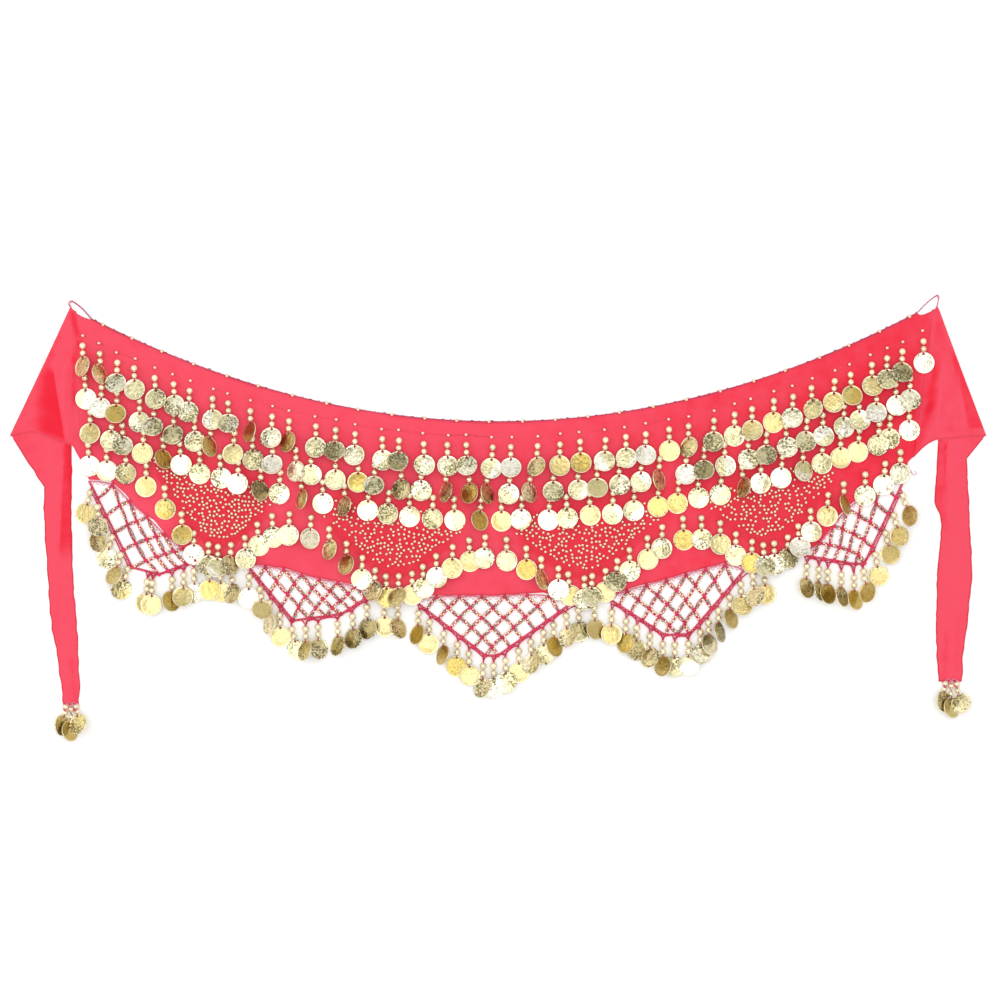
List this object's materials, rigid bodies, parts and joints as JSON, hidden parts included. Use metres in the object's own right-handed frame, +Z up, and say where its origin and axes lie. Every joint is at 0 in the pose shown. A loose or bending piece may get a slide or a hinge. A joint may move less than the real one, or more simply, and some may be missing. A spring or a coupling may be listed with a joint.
{
  "type": "belly dance hip scarf",
  "caption": "Hip scarf laid flat: curved chiffon belt with folded ties, crochet nets, rows of coin drops and a coin fringe.",
  "frame": {"origin": "middle of the bounding box's base, on the surface that the scarf lies on", "axes": "+X along the belt towards its right tie, +Y from the hem to the waist edge, +Z up from the surface"},
  "size_m": [0.877, 0.4016, 0.0107],
  "materials": {
    "chiffon": "sheer woven chiffon, soft sheen",
    "crochet_thread": "crochet cotton",
    "gilt_coins": "stamped gilt sheet, some antiqued"
  },
  "bodies": {
    "root": {"main_panel": "chiffon", "left_tie": "chiffon", "right_tie": "chiffon", "top_edging": "crochet_thread", "net_1": "crochet_thread", "net_2": "crochet_thread", "net_3": "crochet_thread", "net_4": "crochet_thread", "net_5": "crochet_thread", "coin_row_1_a": "gilt_coins", "coin_row_1_b": "gilt_coins", "coin_row_1_c": "gilt_coins", "coin_row_1_d": "gilt_coins", "coin_row_1_e": "gilt_coins", "coin_row_1_f": "gilt_coins", "coin_row_2_a": "gilt_coins", "coin_row_2_b": "gilt_coins", "coin_row_2_c": "gilt_coins", "coin_row_2_d": "gilt_coins", "coin_row_2_e": "gilt_coins", "coin_row_2_f": "gilt_coins", "coin_row_3_a": "gilt_coins", "coin_row_3_b": "gilt_coins", "coin_row_3_c": "gilt_coins", "coin_row_3_d": "gilt_coins", "coin_row_3_e": "gilt_coins", "coin_row_3_f": "gilt_coins", "wave_row_a": "gilt_coins", "wave_row_b": "gilt_coins", "wave_row_c": "gilt_coins", "wave_row_d": "gilt_coins", "wave_row_e": "gilt_coins", "wave_row_f": "gilt_coins", "wave_row_g": "gilt_coins", "wave_row_h": "gilt_coins", "fringe_1_left": "gilt_coins", "fringe_1_right": "gilt_coins", "fringe_2_left": "gilt_coins", "fringe_2_right": "gilt_coins", "fringe_3_left": "gilt_coins", "fringe_3_right": "gilt_coins", "fringe_4_left": "gilt_coins", "fringe_4_right": "gilt_coins", "fringe_5_left": "gilt_coins", "fringe_5_right": "gilt_coins", "left_tie_coins": "gilt_coins", "right_tie_coins": "gilt_coins"}
  },
  "joints": []
}
